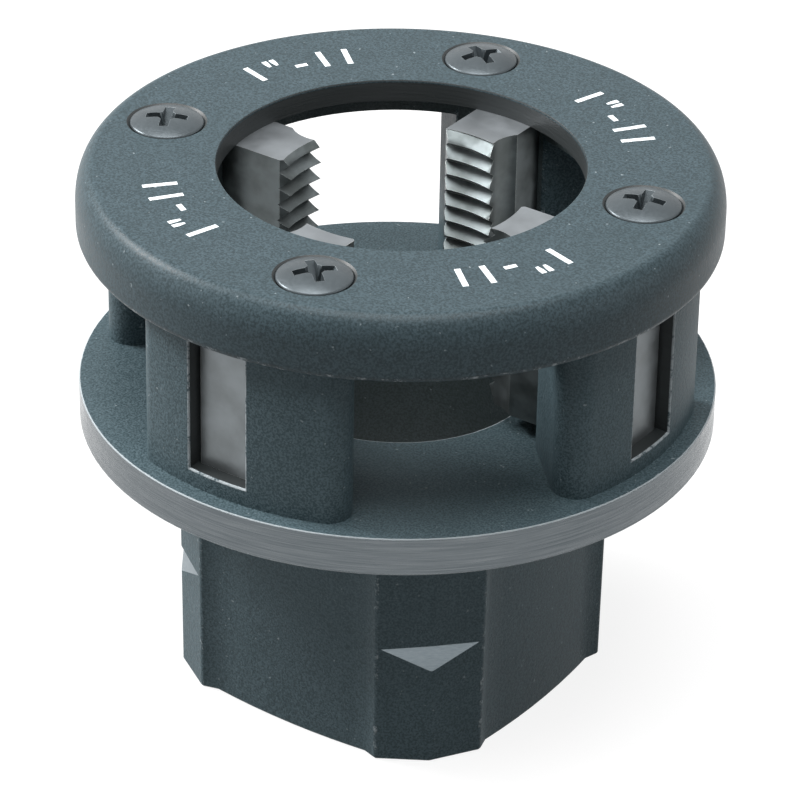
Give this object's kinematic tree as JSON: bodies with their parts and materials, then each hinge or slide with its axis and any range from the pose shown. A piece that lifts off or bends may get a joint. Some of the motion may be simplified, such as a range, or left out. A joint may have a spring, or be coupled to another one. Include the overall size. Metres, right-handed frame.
{
  "type": "pipe threading die head",
  "caption": "Drop-in pipe threading die head: a lobed shank and flanged body with slotted posts, flat toothed dies, and a screwed-on cap-shaped cover round a large hole.",
  "frame": {"origin": "centre of the shank's lower end, on the axis of the pipe", "axes": "+Z along the pipe axis from the shank to the cover; the dies lie on the X and Y axes, die_1 on +X and die_2 on +Y"},
  "size_m": [0.082, 0.082, 0.073],
  "materials": {
    "body": "fine-grained blue-black oxide, turned bright on the flange rim and notches",
    "cover_plate": "fine-grained blue-black oxide with a soft sheen",
    "die": "ground tool steel",
    "screw": "satin black oxide"
  },
  "bodies": {
    "root": {"body": "body", "cover_plate": "cover_plate", "die_1": "die", "die_2": "die", "die_3": "die", "die_4": "die", "cover_screw_1": "screw", "cover_screw_2": "screw", "cover_screw_3": "screw", "cover_screw_4": "screw"}
  },
  "joints": []
}
